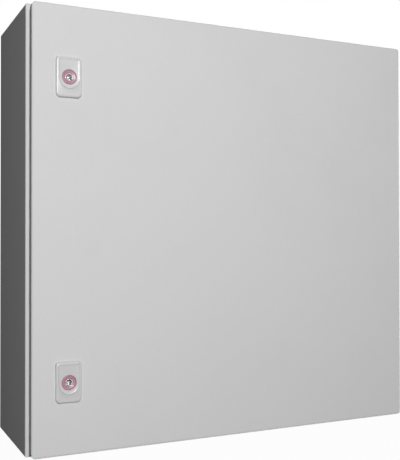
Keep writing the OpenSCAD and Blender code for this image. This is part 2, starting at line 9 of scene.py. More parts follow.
import bmesh
import bpy
import numpy as np
from bpy.props import FloatProperty, FloatVectorProperty, IntProperty, PointerProperty
from mathutils import Matrix, Vector


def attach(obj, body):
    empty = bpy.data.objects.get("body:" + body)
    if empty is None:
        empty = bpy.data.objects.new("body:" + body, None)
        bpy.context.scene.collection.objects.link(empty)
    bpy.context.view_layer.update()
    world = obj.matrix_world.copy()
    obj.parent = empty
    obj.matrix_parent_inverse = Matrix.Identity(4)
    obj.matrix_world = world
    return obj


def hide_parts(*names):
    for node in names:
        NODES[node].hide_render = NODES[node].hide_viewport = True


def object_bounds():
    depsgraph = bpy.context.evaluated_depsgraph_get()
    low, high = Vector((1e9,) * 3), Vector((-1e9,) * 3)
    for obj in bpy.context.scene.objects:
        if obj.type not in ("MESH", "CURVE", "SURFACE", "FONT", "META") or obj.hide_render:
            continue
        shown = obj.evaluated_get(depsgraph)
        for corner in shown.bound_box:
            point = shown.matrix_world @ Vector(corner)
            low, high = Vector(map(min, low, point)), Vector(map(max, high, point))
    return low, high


bl_info = {
    "name": "Wall enclosure finishes",
    "version": (1, 0, 0),
    "blender": (4, 5, 0),
    "location": "3D View > Sidebar > Enclosure",
    "description": "Dresses a sheet-steel wall enclosure: coatings, locks, seals, fasteners and studio",
    "category": "Object",
}

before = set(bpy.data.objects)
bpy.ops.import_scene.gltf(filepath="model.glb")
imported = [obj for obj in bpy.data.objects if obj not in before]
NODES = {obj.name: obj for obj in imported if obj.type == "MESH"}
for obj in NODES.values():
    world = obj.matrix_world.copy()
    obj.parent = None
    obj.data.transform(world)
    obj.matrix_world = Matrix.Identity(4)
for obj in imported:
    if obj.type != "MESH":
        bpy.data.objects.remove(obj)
CAD_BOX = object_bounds()
MM = 0.001
SIDES = ("upper", "lower")

# Angles in degrees beyond which an edge between two faces is kept sharp.
SOFT_CREASE = 38.0
HARD_CREASE = 30.0

# Millimetres, where a size isn't read from the solids. Flats are measured across, bores and the
# core's square from the axis. Screws have a diameter and a pitch. THREAD_DEPTH is a share of it.
M8_FLATS, M8_BORE, M8_WASHER_BORE = 13.0, 4.0, 4.2
M6_BORE = 3.0
CAM_SCREW, CAM_SCREW_BORE = (4.0, 0.7), 2.05
HINGE_SCREW, HINGE_SCREW_HEAD = (5.0, 0.8), 3.5
NECK_PITCH, NECK_CUT = 1.5, 0.8
CORE_SQUARE = 3.25
THREAD_DEPTH = 0.61

# ---------------- settings


def number(name, description, low, high, default, **kind):
    """Number setting."""
    return FloatProperty(name=name, description=description, min=low, max=high, default=default, **kind)


def metres(name, description, low, high, default):
    """Length setting."""
    return number(name, description, low, high, default, unit="LENGTH")


def tone(name, description, default):
    """Linear colour setting."""
    return FloatVectorProperty(name=name, description=description, subtype="COLOR", size=3,
                               min=0.0, max=1.0, default=default)


def spot(name, description, default):
    """Place setting in metres."""
    return FloatVectorProperty(name=name, description=description, subtype="TRANSLATION",
                               unit="LENGTH", size=3, default=default)


def bearing(name, description, degrees):
    """Angle setting."""
    return FloatProperty(name=name, description=description, subtype="ANGLE",
                         default=math.radians(degrees))


class CoatingSettings(bpy.types.PropertyGroup):
    """Textured powder coat on all the sheet steel."""

    colour: tone("Colour", "Light grey of the powder coat, linear", (0.60, 0.60, 0.60))
    grain_size: metres("Grain size", "Width of one dimple of the coat", 0.0002, 0.004, 0.0011)
    grain_depth: metres("Grain depth", "Height of the coat's texture", 0.0, 0.0005, 0.00004)
    roughness: number("Roughness", "Mean roughness of the coat", 0.0, 1.0, 0.75, subtype="FACTOR")


class LockSettings(bpy.types.PropertyGroup):
    """The two moulded lock covers with their rings and turning cores."""

    corner_low: metres("Lower corner radius", "Radius of the cover's two lower corners",
                       0.001, 0.012, 0.0065)
    corner_top: metres("Upper corner radius", "Radius of the cover's two upper corners",
                       0.001, 0.012, 0.005)
    edge_height: metres("Edge height", "Height of the cover's upright edge", 0.0003, 0.003, 0.0026)
    chin: metres("Chin", "Length of the rounded slope at the cover's lower end", 0.001, 0.008, 0.005)
    bevel: metres("Bevel", "Width of the slope from the edge to the face", 0.0005, 0.004, 0.0025)
    shield_width: metres("Shield width", "Width of the raised shield round the keyway",
                         0.02, 0.032, 0.028)
    shield_height: metres("Shield height", "How far the shield stands above the cover",
                          0.0, 0.002, 0.001)
    shield_drop: metres("Shield drop", "How far the shield's round end is centred below the ring's axis",
                        0.0, 0.005, 0.0012)
    shield_dish: metres("Shield dish", "How far the shield's middle lies below its border",
                        0.0, 0.0008, 0.0005)
    neck: metres("Neck", "Diameter of the threaded neck through the door", 0.016, 0.026, 0.022)
    ring_bore: metres("Ring bore", "Inner diameter of the ring", 0.0105, 0.014, 0.01075)
    core_socket: metres("Key socket", "Diameter of the socket that takes the key", 0.006, 0.011, 0.0076)
    key_depth: metres("Key depth", "Depth of the socket that takes the key", 0.004, 0.012, 0.009)
    key_pin: metres("Key pin", "Diameter of the pin in the middle of the socket", 0.002, 0.006, 0.004)
    bit_width: metres("Bit width", "Thickness of the two bits in the socket", 0.001, 0.004, 0.003)
    moulding: tone("Moulding", "Light grey of the covers, linear", (0.54, 0.54, 0.54))
    ring_colour: tone("Ring colour", "Colour of the ring round the keyway, linear", (0.41, 0.205, 0.275))


class SealSettings(bpy.types.PropertyGroup):
    """Foamed seal inside the door."""

    width: metres("Width", "Width of the foamed bead", 0.006, 0.014, 0.012)
    corner: metres("Corner radius", "Radius of the bead's centre line at the door's corners",
                   0.004, 0.03, 0.01125)
    wobble: metres("Wobble", "How unevenly the foam has risen", 0.0, 0.0008, 0.0003)
    imprint: metres("Imprint", "Depth of the line that the lip has pressed into the foam",
                    0.0, 0.003, 0.001)


class FastenerSettings(bpy.types.PropertyGroup):
    """Threads of the bolts and studs."""

    pitch_m8: metres("Large pitch", "Thread pitch of the 8 mm bolts", 0.0008, 0.002, 0.00125)
    pitch_m6: metres("Small pitch", "Thread pitch of the 6 mm bolts", 0.0005, 0.0015, 0.001)
    segments: IntProperty(
        name="Segments", description="Points round a thread", min=12, max=96, default=36)


class StageSettings(bpy.types.PropertyGroup):
    """Camera, lamps and room."""

    camera_place: spot("Camera place", "Where the camera stands", (-0.5144, -1.2280, -0.0134))
    camera_turn: bearing("Camera turn", "How far the camera looks to the right of straight ahead", 26.48)
    camera_rise: bearing("Camera rise", "How far the camera looks above the horizon", 0.69)
    camera_roll: bearing("Camera roll", "Turn of the camera about its own axis", -0.10)
    camera_lens: number("Lens", "Focal length on a sensor 36 mm long", 20.0, 200.0, 61.1)
    camera_shift: number("Lens shift", "Sideways shift of the lens, in sensor widths", -0.2, 0.2, -0.0709)
    key_place: spot("Key lamp place", "Where the soft lamp in front of the door stands",
                    (-0.63, -2.25, 0.55))
    key_power: number("Key lamp power", "Watts of the lamp in front", 0.0, 500.0, 47.0)
    fill_power: number("Fill lamp power", "Watts of the lamp behind", 0.0, 500.0, 60.0)
    side_power: number("Side lamp power", "Watts of the weak lamp on the right", 0.0, 500.0, 8.0)
    under_power: number("Under lamp power", "Watts of the lamp below the floor", 0.0, 500.0, 16.0)
    world_level: number("Room light", "Strength of the even light of the room", 0.0, 2.0, 0.005)


# ---------------- surfaces
#
# Each surface is worked out on a grid of two parameters, and is a pair of points and quads. Points
# are in millimetres in the frame of the piece, with its axis along Z, until seated() places them.


def grid_faces(rows, columns):
    """Quads of a grid whose columns run round and close. Row i, column j is point i * columns + j."""
    i, j = np.meshgrid(np.arange(rows - 1), np.arange(columns), indexing="ij")
    k = (j + 1) % columns
    this, after = i * columns, (i + 1) * columns
    quad = np.stack([this + j, this + k, after + k, after + j], axis=-1)
    return quad.reshape(-1, 4)


def revolve(radius, height):
    """Closed surface: at angle a, row i lies at height[i, a] and radius[i, a] from the axis. Rows
    are joined in order; the first and the last are one row, or both end on the axis."""
    angle = np.linspace(0, 2 * np.pi, radius.shape[1], endpoint=False)
    points = np.stack([radius * np.cos(angle), radius * np.sin(angle), height], axis=-1)
    return points.reshape(-1, 3), grid_faces(*radius.shape)


def surface_of(rows, columns):
    """Closed surface from rows of (radius, height), each a number or one value for each column."""
    radius, height = (np.stack([np.broadcast_to(row[k], columns) for row in rows]) for k in (0, 1))
    return revolve(radius, height)


def rounded(corners, radius, steps=4):
    """Profile through the corners, each corner cut back by its radius and bridged by a quadratic
    curve: (1-t)^2 a + 2t(1-t) corner + t^2 b, where a and b lie on the two sides."""
    corners = np.asarray(corners, float)
    radius = np.broadcast_to(radius, len(corners))
    line = [corners[:1]]
    t = np.linspace(0, 1, steps + 1)[:, None]
    for before, corner, after, r in zip(corners, corners[1:], corners[2:], radius[1:]):
        if r == 0:
            line.append(corner[None])
            continue
        a = corner + (before - corner) / np.linalg.norm(before - corner) * r
        b = corner + (after - corner) / np.linalg.norm(after - corner) * r
        line.append((1 - t) ** 2 * a + 2 * t * (1 - t) * corner + t ** 2 * b)
    line.append(corners[-1:])
    return np.concatenate(line)


def turned(corners, radius, columns=48, steps=4):
    """Turned part: the rounded profile of (distance from the axis, height) corners, revolved."""
    return surface_of(rounded(corners, radius, steps), columns)


def washer(inner, outer, thickness, soft=0.25):
    """Flat ring with softened edges, standing on the ground plane."""
    corners = [(inner, thickness / 2), (inner, thickness), (outer, thickness), (outer, 0), (inner, 0),
               (inner, thickness / 2)]
    return turned(corners, soft, 64, 3)


def polygon(sides, half_width, columns):
    """Distance from the axis to a regular outline: half its width over the cosine of the angle
    from the middle of the nearest side."""
    angle = np.linspace(0, 2 * np.pi, columns, endpoint=False)
    sector = 2 * np.pi / sides
    return half_width / np.cos((angle + sector / 2) % sector - sector / 2)


def hex_body(across_flats, height, bore=0.0, flange=0.0, columns=96):
    """Hexagon whose ends are cut by 30 degree cones, so its corners end in arcs: the height falls
    by the radius beyond the cone's start times tan 30. A bore goes through it, with a countersink,
    and a round flange may stand at its low end."""
    side = polygon(6, across_flats / 2, columns)
    start = across_flats / 2 * 0.96
    drop = np.maximum(side - start, 0) * math.tan(math.radians(30))
    sink = 0.4 if bore else 0.0
    collar, rounding = 1.3, 0.5
    rows = [(bore, height - sink), (bore + sink, height), (start, height), (side, height - drop)]
    if flange:
        rows += [(side, collar), (flange - rounding, 2 * rounding), (flange, rounding), (flange, 0.0)]
    else:
        rows += [(side, drop), (start, 0.0)]
    rows += [(bore + sink, 0.0), (bore, sink)]
    if bore:
        rows += [rows[0]]
    return surface_of(rows, columns)


def thread_cut(height, angle, pitch):
    """How deep a thread is cut, from 0 to 1: a triangle wave of height / pitch - angle / one turn,
    with its crests and roots clipped flat."""
    wave = np.abs((height / pitch - angle / (2 * np.pi)) % 1.0 * 2 - 1)
    return np.clip(wave * 1.25 - 0.125, 0, 1)


def thread(diameter, pitch, low, high, columns=36, chamfer=True):
    """Screw thread with eight rows a turn: the outer radius less the thread's cut, and less what a
    45 degree cone takes off its high end."""
    rows, cone = max(int((high - low) / pitch * 8), 8), 0.9
    height = np.linspace(low, high, rows)[:, None]
    angle = np.linspace(0, 2 * np.pi, columns, endpoint=False)[None, :]
    outer = diameter / 2 - thread_cut(height, angle, pitch) * THREAD_DEPTH * pitch
    if chamfer:
        outer = np.minimum(outer, diameter / 2 - cone + (high - height))
    return surface_of([(0.0, low), *zip(outer, height), (0.0, high)], columns)


def head_screw(box, seat, size, columns):
    """Hexagon head above its seat, and a threaded shank of a size that reaches a little into it."""
    low, high = box
    return (hex_body(high[2] - low[2], high[1] - seat, columns=columns),
            thread(*size, low[1] - seat, 0.2, chamfer=False))


def seated(surface, box, direction, start=None):
    """Lays a surface's height along a direction such as "+x", in the middle of a box across it.
    Height 0 lies on the box's face where that direction begins, or at the start if one is given."""
    points, faces = surface
    x, y, z = points.T
    laid = {"+x": (z, y, -x), "+y": (x, z, -y), "-y": (x, -z, y), "+z": (x, y, z)}[direction]
    sign, axis = direction[0], "xyz".index(direction[1])
    place = (box[0] + box[1]) / 2
    place[axis] = box[sign == "-"][axis] if start is None else start
    return np.stack(laid, axis=-1) + place, faces


def measured(box, direction):
    """Diameter and height of a box that holds a round piece whose axis runs along a direction."""
    size = box[1] - box[0]
    axis = "xyz".index(direction[1])
    return size[1 if axis == 0 else 0], size[axis]


def smooth(t):
    """Rise from 0 to 1 that starts and ends level: 3 t^2 - 2 t^3."""
    return t * t * (3 - 2 * t)


def star_radius(distance, angle, level):
    """Radius, up to 60, at which a ray from the origin meets a level of a distance field, by
    halving the way to it 36 times."""
    low, high = np.zeros_like(angle), np.full_like(angle, 60.0)
    for _ in range(36):
        middle = (low + high) / 2
        inside = distance(middle * np.cos(angle), middle * np.sin(angle)) < level
        low, high = np.where(inside, middle, low), np.where(inside, high, middle)
    return low


def round_box_distance(x, z, half_w, half_h, r_top, r_low):
    """Signed distance to a rectangle with round corners, of one radius above and one below."""
    r = np.where(z > 0, r_top, r_low)
    qx, qz = np.abs(x) - half_w + r, np.abs(z) - half_h + r
    return np.minimum(np.maximum(qx, qz), 0) + np.hypot(np.maximum(qx, 0), np.maximum(qz, 0)) - r


# ---------------- meshes


def node_points(node):
    """Corners of a CAD node's mesh, in millimetres."""
    mesh = NODES[node].data
    points = np.empty(len(mesh.vertices) * 3)
    mesh.vertices.foreach_get("co", points)
    return points.reshape(-1, 3) / MM


def node_box(node):
    """Lowest and highest corner of a CAD node, in millimetres."""
    points = node_points(node)
    return points.min(axis=0), points.max(axis=0)


def solid_boxes(node):
    """Box of each separate solid of a node. Corners at one place share a number, and along the
    edges each corner takes the lower number of its neighbour until nothing changes."""
    points = node_points(node)
    places, label = np.unique(np.round(points, 3), axis=0, return_inverse=True)
    mesh = NODES[node].data
    ends = np.empty(len(mesh.edges) * 2, int)
    mesh.edges.foreach_get("vertices", ends)
    first, second = label.ravel()[ends.reshape(-1, 2)].T
    number = np.arange(len(places))
    while True:
        lowest = np.minimum(number[first], number[second])
        after = number.copy()
        np.minimum.at(after, first, lowest)
        np.minimum.at(after, second, lowest)
        after = after[after]
        if (after == number).all():
            break
        number = after
    solids = (places[number == n] for n in np.unique(number))
    boxes = ((solid.min(axis=0), solid.max(axis=0)) for solid in solids)
    return sorted(boxes, key=lambda box: tuple(np.round(box[0], 2)))


def finish_of(slot):
    """The finish of a material slot; the prefix keeps it apart from the frame's own materials."""
    return bpy.data.materials["finish_" + slot]


def linked(name, data):
    """New object of the data, in the scene."""
    thing = bpy.data.objects.new(name, data)
    bpy.context.scene.collection.objects.link(thing)
    return thing


def merged(mesh, distance):
    """The mesh for editing, with corners at one place made one."""
    work = bmesh.new()
    work.from_mesh(mesh)
    bmesh.ops.remove_doubles(work, verts=work.verts, dist=distance)
    return work


def make_piece(name, surfaces, body, slot, replaces, crease=SOFT_CREASE):
    """One object from closed surfaces: doubles merged, faces turned outwards, edges sharper than
    the crease angle kept sharp."""
    points, faces, count = [], [], 0
    for surface_points, surface_faces in surfaces:
        points.append(surface_points)
        faces.append(surface_faces + count)
        count += len(surface_points)
    mesh = bpy.data.meshes.new(name)
    mesh.from_pydata((np.concatenate(points) * MM).tolist(), [], np.concatenate(faces).tolist())
    work = merged(mesh, 1e-6)
    bmesh.ops.dissolve_degenerate(work, edges=work.edges, dist=1e-7)
    bmesh.ops.recalc_face_normals(work, faces=work.faces)
    work.to_mesh(mesh)
    work.free()
    dress(name, mesh, body, slot, replaces, crease)


def dress(name, mesh, body, slot, replaces, crease):
    """Object of a mesh with its finish, on its body and in place of the CAD nodes it replaces."""
    mesh.shade_smooth()
    mesh.set_sharp_from_angle(angle=math.radians(crease))
    mesh.materials.clear()
    mesh.materials.append(finish_of(slot))
    piece = linked(name, mesh)
    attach(piece, body)
    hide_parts(*replaces)
    return piece


def replace_node(node, name, parts, body, slot, direction, start=None, crease=SOFT_CREASE):
    """Piece in place of one CAD node, with its parts seated in the node's box."""
    box = node_box(node)
    surfaces = [seated(part, box, direction, start) for part in parts]
    make_piece(name, surfaces, body, slot, (node,), crease)


def replace_solids(node, name, shape, body, slot, direction, crease=SOFT_CREASE):
    """Piece in place of one CAD node, with the shape that fits each of its solids' boxes."""
    surfaces = [seated(shape(box), box, direction) for box in solid_boxes(node)]
    make_piece(name, surfaces, body, slot, (node,), crease)


def replace_washer(node, name, bore, body, direction):
    """Washer with a bore in place of one CAD node."""
    across, height = measured(node_box(node), direction)
    replace_node(node, name, [washer(bore, across / 2, height)], body, "zinc_plated", direction)


def softened(node, name, body, slot, width):
    """Merged copy of a CAD node whose sharp edges are rounded by a bevel of a width."""
    mesh = NODES[node].data.copy()
    mesh.name = name
    work = merged(mesh, 2e-6)
    bmesh.ops.dissolve_limit(work, angle_limit=math.radians(1.0), verts=work.verts, edges=work.edges)
    bmesh.ops.recalc_face_normals(work, faces=work.faces)
    sharp = [edge for edge in work.edges
             if edge.is_manifold and edge.calc_face_angle() > math.radians(HARD_CREASE)]
    bmesh.ops.bevel(work, geom=sharp, offset=width * MM, segments=2, profile=0.5, affect="EDGES",
                    clamp_overlap=True)
    work.to_mesh(mesh)
    work.free()
    if "custom_normal" in mesh.attributes:
        mesh.attributes.remove(mesh.attributes["custom_normal"])
    piece = dress(name, mesh, body, slot, (node,), SOFT_CREASE)
    piece.modifiers.new("even_flats", "WEIGHTED_NORMAL").keep_sharp = True


# ---------------- materials


def feed(tree, socket, value):
    """Gives an input a number, a colour or another node's output."""
    if isinstance(value, bpy.types.NodeSocket):
        tree.links.new(value, socket)
    else:
        socket.default_value = value


def add_node(tree, kind, inputs=(), **settings):
    """New shader node with its settings made and its inputs fed, by label or by number."""
    node = tree.nodes.new("ShaderNode" + kind)
    for name, value in settings.items():
        setattr(node, name, value)
    for key, value in dict(inputs).items():
        feed(tree, node.inputs[key], value)
    return node


def math_node(tree, operation, first, second, clamp=False):
    """Output of a Math node whose inputs are outputs of other nodes or numbers."""
    return add_node(tree, "Math", {0: first, 1: second}, operation=operation, use_clamp=clamp).outputs[0]


def mixed_colour(tree, mask, low, high):
    """Colour between two colours by a mask."""
    inputs = {"Factor": mask, "A": (*low, 1.0), "B": (*high, 1.0)}
    return add_node(tree, "Mix", inputs, data_type="RGBA").outputs["Result"]


def mixed_shader(tree, share, first, second):
    """Shader between two shaders by a share of the second."""
    return add_node(tree, "MixShader", {0: share, 1: first, 2: second}).outputs[0]


def noise(tree, vector, scale, detail=2.0, roughness=0.5):
    """Noise centred on 0.5; the scale is a number of cells a metre."""
    inputs = {"Vector": vector, "Detail": detail, "Roughness": roughness, "Scale": scale}
    return add_node(tree, "TexNoise", inputs).outputs["Fac"]


def new_group(name, inputs, outputs):
    """Empty shader node group that reads a vector and inputs of (name, kind, default), with the
    nodes of its inputs and outputs."""
    group = bpy.data.node_groups.new(name, "ShaderNodeTree")
    group.interface.new_socket("Vector", in_out="INPUT", socket_type="NodeSocketVector")
    for label, kind, default in inputs:
        socket = group.interface.new_socket(label, in_out="INPUT", socket_type="NodeSocket" + kind)
        socket.default_value = default
    for label in outputs:
        group.interface.new_socket(label, in_out="OUTPUT", socket_type="NodeSocketFloat")
    return group, group.nodes.new("NodeGroupInput"), group.nodes.new("NodeGroupOutput")


def pebble_group():
    """Textured coat or moulding: fine pebbles over a slow peel, and a speckle for the colour."""
    group, given, out = new_group(
        "pebble", [("Scale", "Float", 900.0), ("Peel", "Float", 0.35)], ["Height", "Speckle"])
    vector, scale, peel = given.outputs[:3]
    fine = noise(group, vector, scale, 3.0, 0.55)
    slow = noise(group, vector, math_node(group, "MULTIPLY", scale, 0.22), 1.0)
    height = math_node(group, "ADD", fine, math_node(group, "MULTIPLY", slow, peel))
    feed(group, out.inputs["Height"], height)
    speckle = noise(group, vector, math_node(group, "MULTIPLY", scale, 0.6))
    feed(group, out.inputs["Speckle"], speckle)


def rolled_group():
    """Drawn or rolled metal: long fine streaks along the stretched axis and soft blotches."""
    group, given, out = new_group(
        "rolled_metal", [("Scale", "Float", 600.0), ("Stretch", "Vector", (1.0, 1.0, 0.02))],
        ["Streaks", "Blotches"])
    vector, scale, stretch = given.outputs[:3]
    drawn = add_node(group, "VectorMath", {0: vector, 1: stretch}, operation="MULTIPLY").outputs[0]
    feed(group, out.inputs["Streaks"], noise(group, drawn, scale, 4.0, 0.65))
    blotch_scale = math_node(group, "MULTIPLY", scale, 0.03)
    feed(group, out.inputs["Blotches"], noise(group, vector, blotch_scale, 3.0, 0.6))


def handling_group():
    """Faint handling marks: a broad cloud thresholded into soft patches, from 0 to 1."""
    group, given, out = new_group("handling", [("Size", "Float", 0.12)], ["Marks"])
    vector, size = given.outputs[:2]
    cloud = noise(group, vector, math_node(group, "DIVIDE", 1.0, size), 5.0, 0.6)
    inputs = {"From Min": 0.45, "From Max": 0.75, "Value": cloud}
    marks = add_node(group, "MapRange", inputs, interpolation_type="SMOOTHSTEP")
    feed(group, out.inputs["Marks"], marks.outputs["Result"])


class Finish:
    """One material under construction: its tree, its shader and the vector its patterns read."""

    def __init__(self, name, roughness, metallic=0.0, specular=0.5):
        material = bpy.data.materials.new("finish_" + name)
        material.use_nodes = True
        self.tree = material.node_tree
        self.shader = self.tree.nodes["Principled BSDF"]
        self.place = add_node(self.tree, "TexCoord").outputs["Object"]
        self.roughness = roughness
        self.give("Roughness", roughness)
        self.give("Metallic", metallic)
        self.give("Specular IOR Level", specular)

    def give(self, label, value):
        """Feeds one of the shader's inputs."""
        feed(self.tree, self.shader.inputs[label], value)

    def use(self, group, **values):
        """Outputs of a node of the group that reads the place; values name its inputs."""
        node = add_node(self.tree, "Group", node_tree=bpy.data.node_groups[group])
        feed(self.tree, node.inputs["Vector"], self.place)
        for label, value in values.items():
            feed(self.tree, node.inputs[label.capitalize()], value)
        return node.outputs

    def colour(self, mask, low, high):
        """Base colour between two colours by a mask."""
        self.give("Base Color", mixed_colour(self.tree, mask, low, high))

    def vary_roughness(self, mask, swing):
        """Roughness that swings about its mean with a mask centred on one half."""
        offset = math_node(self.tree, "MULTIPLY", math_node(self.tree, "SUBTRACT", mask, 0.5), 2 * swing)
        self.give("Roughness", math_node(self.tree, "ADD", offset, self.roughness, clamp=True))

    def relief(self, height, distance):
        """Bump of a height, with a distance in metres."""
        bump = add_node(self.tree, "Bump", {"Distance": distance, "Strength": 1.0, "Height": height})
        self.give("Normal", bump.outputs["Normal"])


def tint(colour, factor):
    """Colour times a factor, with no channel above one."""
    return tuple(min(channel * factor, 1.0) for channel in colour)


def powder_coat(coat):
    """Coated steel: a pebbled, fully matt grey with faint handling marks."""
    finish = Finish("grey_powder_coat", coat.roughness, specular=0.0)
    pebble = finish.use("pebble", scale=1.0 / coat.grain_size, peel=0.5)
    marks = finish.use("handling", size=0.16)["Marks"]
    blend = math_node(finish.tree, "ADD", math_node(finish.tree, "MULTIPLY", pebble["Speckle"], 0.7),
                      math_node(finish.tree, "MULTIPLY", marks, 0.3), clamp=True)
    finish.colour(blend, tint(coat.colour, 1.03), tint(coat.colour, 0.95))
    finish.vary_roughness(pebble["Speckle"], 0.06)
    finish.relief(pebble["Height"], coat.grain_depth)


def metal(name, roughness, scale, low, high, stretch=(1.0, 1.0, 1.0), swing=0.10, depth=0.000008):
    """Bare or plated metal: blotched between two colours, with fine streaks in its gloss."""
    finish = Finish(name, roughness, metallic=1.0)
    rolled = finish.use("rolled_metal", scale=scale, stretch=stretch)
    finish.colour(rolled["Blotches"], low, high)
    finish.vary_roughness(rolled["Streaks"], swing)
    finish.relief(rolled["Streaks"], depth)


def pebbled(name, roughness, scale, peel, low, high, swing, depth, **shader):
    """Cast or moulded finish: a fine grain, speckled between two colours."""
    finish = Finish(name, roughness, **shader)
    pebble = finish.use("pebble", scale=scale, peel=peel)
    finish.colour(pebble["Speckle"], low, high)
    finish.vary_roughness(pebble["Speckle"], swing)
    finish.relief(pebble["Height"], depth)


def foam():
    """Foamed polyurethane: a closed skin dimpled by the cells below it."""
    finish = Finish("foam_seal", 0.88, specular=0.3)
    cells = add_node(finish.tree, "TexVoronoi", {"Scale": 1500.0, "Vector": finish.place})
    pebble = finish.use("pebble", scale=700.0, peel=0.8)
    dimples = math_node(finish.tree, "MULTIPLY", cells.outputs["Distance"], 0.6)
    finish.colour(pebble["Speckle"], (0.050, 0.050, 0.052), (0.085, 0.085, 0.088))
    finish.relief(math_node(finish.tree, "ADD", dimples, pebble["Height"]), 0.00012)


def rubber():
    """Black rubber, greyed a little where it has been handled."""
    finish = Finish("black_rubber", 0.72, specular=0.35)
    pebble = finish.use("pebble", scale=1200.0, peel=0.4)
    marks = finish.use("handling", size=0.03)["Marks"]
    finish.colour(marks, (0.035, 0.035, 0.036), (0.060, 0.060, 0.060))
    finish.vary_roughness(pebble["Speckle"], 0.10)
    finish.relief(pebble["Height"], 0.00003)


# ---------------- operators


class ENCLOSURE_OT_finishes(bpy.types.Operator):
    """Builds the shared effects and one material for each finish, and dresses the CAD nodes."""

    bl_idname = "enclosure.finishes"
    bl_label = "Finishes"

    def execute(self, context):
        lock = context.scene.enclosure_lock
        for build in (pebble_group, rolled_group, handling_group):
            build()
        powder_coat(context.scene.enclosure_coating)
        metal("zinc_sheet", 0.62, 900.0, (0.46, 0.47, 0.49), (0.54, 0.55, 0.57),
              stretch=(1.0, 1.0, 0.015), depth=0.000006)
        metal("zinc_plated", 0.30, 2200.0, (0.62, 0.64, 0.67), (0.74, 0.74, 0.73))
        pebbled("hinge_casting", 0.44, 1400.0, 0.3, (0.46, 0.47, 0.48), (0.60, 0.61, 0.62), 0.10, 0.00005,
                metallic=1.0)
        metal("lock_core", 0.38, 2600.0, (0.50, 0.50, 0.49), (0.64, 0.63, 0.62),
              stretch=(1.0, 0.05, 1.0), swing=0.08, depth=0.000004)
        metal("copper_plated", 0.32, 1800.0, (0.78, 0.44, 0.30), (0.62, 0.33, 0.22), swing=0.12)
        for name, colour, roughness in (("grey_moulding", lock.moulding, 0.33),
                                        ("pink_moulding", lock.ring_colour, 0.36),
                                        ("plug_moulding", (0.55, 0.55, 0.55), 0.45)):
            pebbled(name, roughness, 1600.0, 0.2, tint(colour, 1.03), tint(colour, 0.96), 0.06, 0.00002,
                    specular=0.45)
        foam()
        rubber()
        for piece in NODES.values():
            finish = finish_of(piece.data.materials[0].name.split(".")[0])
            for slot in piece.material_slots:
                slot.material = finish
        return {"FINISHED"}


def cover_moulding(side, lock):
    """Around the ring's axis each angle has the same rows: up the edge, over the slope and the
    shield's step, into the ring's pocket, down the bore, and back along the neck."""
    low, high = node_box(side + "_lock_cover")
    ring_low, ring_high = node_box(side + "_lock_ring")
    front = node_box("door_panel")[0][1]
    half_w, half_h = (high[0] - low[0]) / 2, (high[2] - low[2]) / 2
    top, neck_end = front - low[1], high[1] - front
    angle = np.linspace(0, 2 * np.pi, 360, endpoint=False)
    bevel, chin, edge = lock.bevel / MM, lock.chin / MM, lock.edge_height / MM
    shield, dish, below = lock.shield_height / MM, lock.shield_dish / MM, lock.shield_drop / MM
    shield_half, shield_corner = lock.shield_width / MM / 2, 3.0
    shield_reach, shield_step = half_h - bevel - 0.5, 0.8
    foot, tilt = 0.3, math.radians(15)
    face = top - shield

    def outline(share, drop):
        """Cover's outline drawn in by a share of the bevel, and by a share of the chin below."""
        inset = bevel * share
        return star_radius(lambda x, z: round_box_distance(
            x, z, half_w - inset, np.where(z > 0, half_h - inset, half_h - chin * drop),
            lock.corner_top / MM - inset / 2, lock.corner_low / MM - inset / 2), angle, 0.0)

    def shield_field(x, z):
        """Half round below, square shoulders with small corners above."""
        upper = round_box_distance(x, z, shield_half, shield_reach, shield_corner, shield_corner)
        return np.where(z > -below, upper, np.hypot(x, z + below) - shield_half)

    # The wall leans in a little, and the slope turns over from it to the face.
    rows = [(outline(0, 0), 0.0), (outline(0.02, 0.02), foot)]
    for t in np.linspace(0, 1, 5)[1:]:
        rows.append((outline(0.02 + 0.16 * t, 0.02 + 0.26 * t), foot + (edge - foot) * t))
    for t in np.linspace(0, 1, 8)[1:]:
        turn = tilt + (math.pi / 2 - tilt) * t
        share = (math.cos(tilt) - math.cos(turn)) / math.cos(tilt)
        climb = (math.sin(turn) - math.sin(tilt)) / (1 - math.sin(tilt))
        rows.append((outline(0.18 + 0.82 * share, 0.28 + 0.72 * share), edge + (face - edge) * climb))
    # The shield's step, its dish down to the ring's pocket, and the pocket's rounded edge.
    for t in np.linspace(0, 1, 7):
        level = shield_step * (0.5 - t)
        rows.append((star_radius(shield_field, angle, level), face + shield * smooth(t)))
    pocket, pocket_edge = (ring_high[0] - ring_low[0]) / 2 + 0.1, 0.6
    for t in np.linspace(0, 1, 8)[1:]:
        inwards = star_radius(shield_field, angle, -0.4 - 2.0 * t)
        rows.append((np.maximum(inwards, pocket + 0.9 - 0.2 * t), top - dish * smooth(t)))
    for t in np.linspace(0, 1, 5):
        turn = math.pi / 2 * t
        rows.append((pocket + pocket_edge * (1 - math.sin(turn)),
                     top - dish - pocket_edge * (1 - math.cos(turn))))
    seat, neck = front - ring_high[1], lock.neck / MM / 2
    bore = measured(node_box(side + "_lock_spindle"), "-y")[0] / 2 + 0.05
    rows += [(pocket, seat), (bore, seat), (bore, -neck_end), (neck - 1.0, -neck_end)]
    height = np.linspace(-neck_end + 0.02, -2.0, 150)[:, None]
    lead_in = np.maximum(neck - 0.9 + (height + neck_end), neck - 1.0)
    cut = thread_cut(height, angle, NECK_PITCH) * NECK_CUT
    rows += [*zip(np.minimum(neck - cut, lead_in), height), (neck, 0.0), rows[0]]
    cover = surface_of(rows, len(angle))
    replace_node(side + "_lock_cover", side + "_cover_moulding", [cover], "door", "grey_moulding",
                 "-y", front, crease=32.0)


